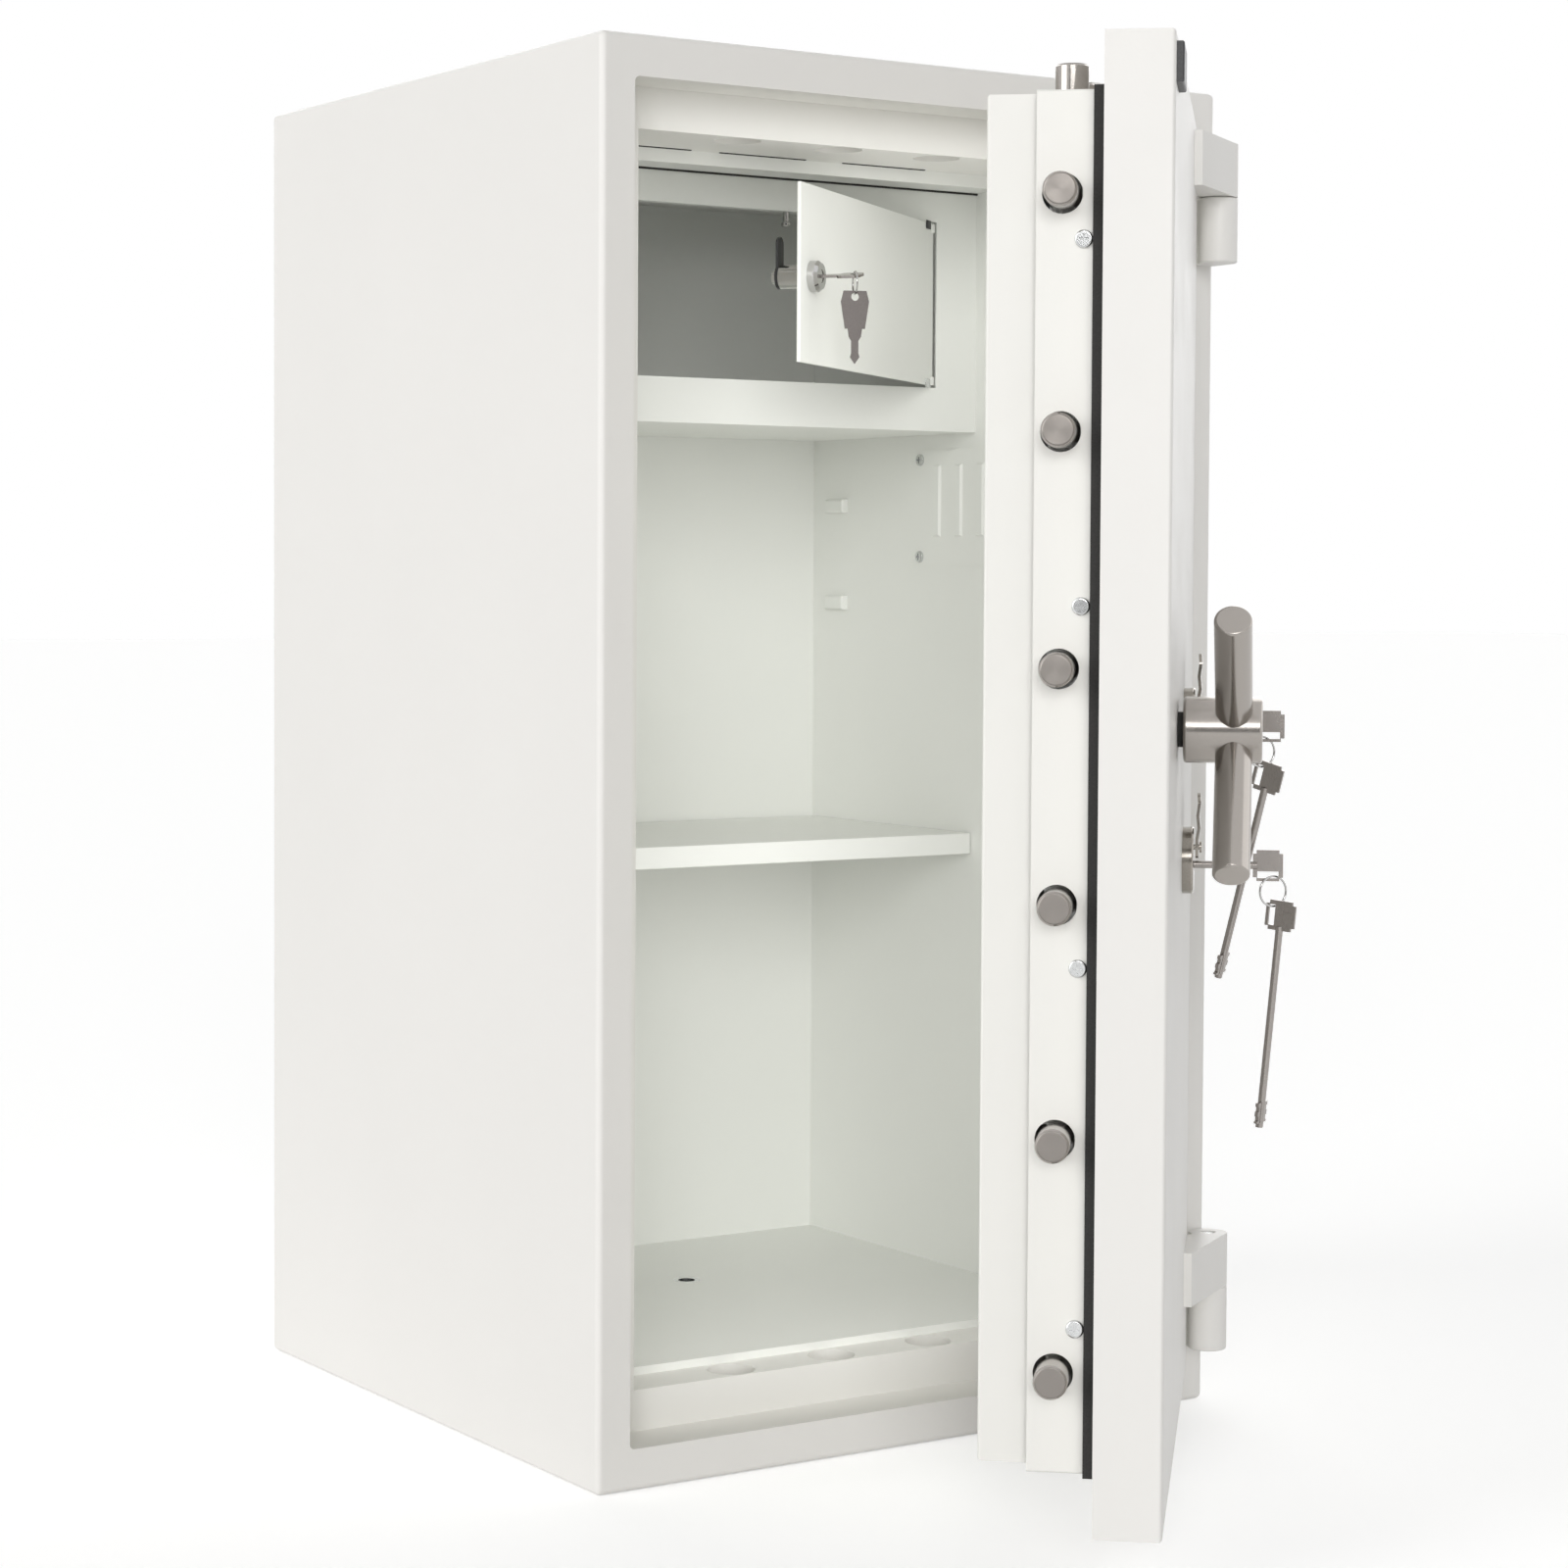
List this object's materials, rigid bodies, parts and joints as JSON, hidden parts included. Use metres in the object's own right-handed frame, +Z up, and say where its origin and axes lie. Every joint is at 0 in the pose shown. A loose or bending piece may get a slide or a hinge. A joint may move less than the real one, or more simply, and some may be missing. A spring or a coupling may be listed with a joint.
{
  "type": "security safe",
  "caption": "Upright security safe with a thick hinged door, sliding locking bolts, spoked handle, key locks, inner locker and removable shelf.",
  "frame": {"origin": "centre of the flat base of the body, on the floor", "axes": "+X to the hinge side (right seen from the front), +Y to the rear, +Z up"},
  "size_m": [0.554, 0.9375, 1.03],
  "materials": {
    "paint": "fine orange-peel powder coat",
    "frame_paint": "powder coat",
    "liner_paint": "powder coat",
    "fill": "cast barrier material",
    "zinc": "bright zinc plate",
    "seal": "matt",
    "badge": "satin",
    "bolt_nickel": "turned and nickel plated",
    "handle_steel": "brushed",
    "lock_nickel": "satin nickel",
    "key_nickel": "nickel plated",
    "chrome": "polished",
    "cam_black": "black oxide"
  },
  "bodies": {
    "cabinet": {"outer_casing": "paint", "door_frame": "frame_paint", "interior_liner": "liner_paint", "barrier_fill": "fill", "anchor_sleeve": "zinc", "body_hinge_knuckles": "paint", "hinge_pins": "zinc", "side_cover_plate": "liner_paint", "cover_plate_screws": "zinc", "shelf_clips": "liner_paint", "locker_housing": "liner_paint", "locker_hinge_pins": "zinc", "locker_catch_pin": "chrome"},
    "shelf_body": {"shelf": "liner_paint"},
    "door": {"door_leaf": "paint", "door_fill": "fill", "door_back_plate": "paint", "door_seal": "seal", "door_spacer_board": "fill", "bolt_box": "frame_paint", "inner_cover": "frame_paint", "inner_cover_board": "fill", "door_hinge_arms": "paint", "door_edge_screws": "zinc", "badge_plate": "badge", "handle_collar": "seal", "upper_lock_rosette": "lock_nickel", "lower_lock_rosette": "lock_nickel", "upper_cover_pivot": "lock_nickel", "lower_cover_pivot": "lock_nickel", "upper_lock_case": "zinc", "lower_lock_case": "zinc"},
    "handle": {"handle_hub": "handle_steel", "handle_spokes": "handle_steel", "handle_spindle": "handle_steel", "bolt_drive_disc": "zinc"},
    "side_bolt_set": {"side_bolts": "bolt_nickel", "side_bolt_bar": "zinc"},
    "top_bolt_set": {"top_bolts": "bolt_nickel", "top_bolt_bar": "zinc"},
    "bottom_bolt_set": {"bottom_bolts": "bolt_nickel", "bottom_bolt_bar": "zinc"},
    "locker_door_body": {"locker_door": "liner_paint", "locker_lock_barrel": "chrome", "locker_lock_nut": "zinc"},
    "locker_lock": {"locker_lock_plug": "chrome", "locker_lock_cam": "cam_black", "locker_key": "key_nickel", "locker_key_ring": "chrome"},
    "locker_spare": {"locker_spare_key": "key_nickel"},
    "upper_cover": {"upper_keyhole_cover": "lock_nickel"},
    "upper_key_body": {"upper_key": "key_nickel", "upper_key_ring": "chrome"},
    "upper_spare": {"upper_spare_key": "key_nickel"},
    "upper_deadbolt": {"upper_lock_bolt": "zinc"},
    "lower_cover": {"lower_keyhole_cover": "lock_nickel"},
    "lower_key_body": {"lower_key": "key_nickel", "lower_key_ring": "chrome"},
    "lower_spare": {"lower_spare_key": "key_nickel"},
    "lower_deadbolt": {"lower_lock_bolt": "zinc"}
  },
  "joints": [
    {"name": "door_swing", "type": "hinge", "parent": "cabinet", "child": "door", "pos_m": [0.2597, -0.298, 0.5], "axis": [0, 0, 1], "range_deg": [-48.5, 61.5]},
    {"name": "shelf_slide", "type": "slide", "parent": "cabinet", "child": "shelf_body", "axis": [0, -1, 0], "range_m": [0, 0.11]},
    {"name": "handle_turn", "type": "hinge", "parent": "door", "child": "handle", "pos_m": [0.02778, -0.56014, 0.548], "axis": [0.749, -0.6626, 0], "range_deg": [-90, 0]},
    {"name": "side_bolts_slide", "type": "slide", "parent": "door", "child": "side_bolt_set", "axis": [0.6626, 0.749, 0], "range_m": [0, 0.0262]},
    {"name": "top_bolts_slide", "type": "slide", "parent": "door", "child": "top_bolt_set", "axis": [0, 0, -1], "range_m": [0, 0.0262]},
    {"name": "bottom_bolts_slide", "type": "slide", "parent": "door", "child": "bottom_bolt_set", "axis": [0, 0, 1], "range_m": [0, 0.0182]},
    {"name": "locker_door_swing", "type": "hinge", "parent": "cabinet", "child": "locker_door_body", "pos_m": [0.175, -0.0315, 0.875], "axis": [0, 0, 1], "range_deg": [-36.9, 46.9]},
    {"name": "locker_key_turn", "type": "hinge", "parent": "locker_door_body", "child": "locker_lock", "pos_m": [-0.0615, -0.21282, 0.874], "axis": [0.6004, -0.7997, 0], "range_deg": [0, 90]},
    {"name": "locker_spare_swing", "type": "hinge", "parent": "locker_lock", "child": "locker_spare", "pos_m": [-0.04405, -0.24473, 0.8595], "axis": [-0.9198, 0.3923, 0], "range_deg": [-20, 22]},
    {"name": "upper_cover_swing", "type": "hinge", "parent": "door", "child": "upper_cover", "pos_m": [0.11548, -0.45347, 0.5575], "axis": [0.749, -0.6626, 0], "range_deg": [-115, 115]},
    {"name": "upper_key_turn", "type": "hinge", "parent": "door", "child": "upper_key_body", "pos_m": [0.11922, -0.45678, 0.545], "axis": [0.749, -0.6626, 0], "range_deg": [0, 90]},
    {"name": "upper_deadbolt_slide", "type": "slide", "parent": "door", "child": "upper_deadbolt", "axis": [0.6626, 0.749, 0], "range_m": [0, 0.0102]},
    {"name": "upper_spare_swing", "type": "hinge", "parent": "upper_key_body", "child": "upper_spare", "pos_m": [0.14797, -0.48348, 0.51595], "axis": [-0.8949, -0.4462, 0], "range_deg": [-4, 1]},
    {"name": "lower_cover_swing", "type": "hinge", "parent": "door", "child": "lower_cover", "pos_m": [0.11548, -0.45347, 0.4575], "axis": [0.749, -0.6626, 0], "range_deg": [-115, 115]},
    {"name": "lower_key_turn", "type": "hinge", "parent": "door", "child": "lower_key_body", "pos_m": [0.11922, -0.45678, 0.445], "axis": [0.749, -0.6626, 0], "range_deg": [0, 90]},
    {"name": "lower_deadbolt_slide", "type": "slide", "parent": "door", "child": "lower_deadbolt", "axis": [0.6626, 0.749, 0], "range_m": [0, 0.0102]},
    {"name": "lower_spare_swing", "type": "hinge", "parent": "lower_key_body", "child": "lower_spare", "pos_m": [0.15559, -0.48895, 0.4158], "axis": [-0.8949, -0.4462, 0], "range_deg": [-12, 35]}
  ],
  "couplings": [
    {"joint": "side_bolts_slide", "follows": "handle_turn", "m_per_rad": -0.016552},
    {"joint": "top_bolts_slide", "follows": "handle_turn", "m_per_rad": -0.016552},
    {"joint": "bottom_bolts_slide", "follows": "handle_turn", "m_per_rad": -0.011459},
    {"joint": "locker_door_swing", "follows": "door_swing", "ratio": 0.76082},
    {"joint": "upper_deadbolt_slide", "follows": "upper_key_turn", "m_per_rad": 0.0063662},
    {"joint": "lower_deadbolt_slide", "follows": "lower_key_turn", "m_per_rad": 0.0063662}
  ]
}
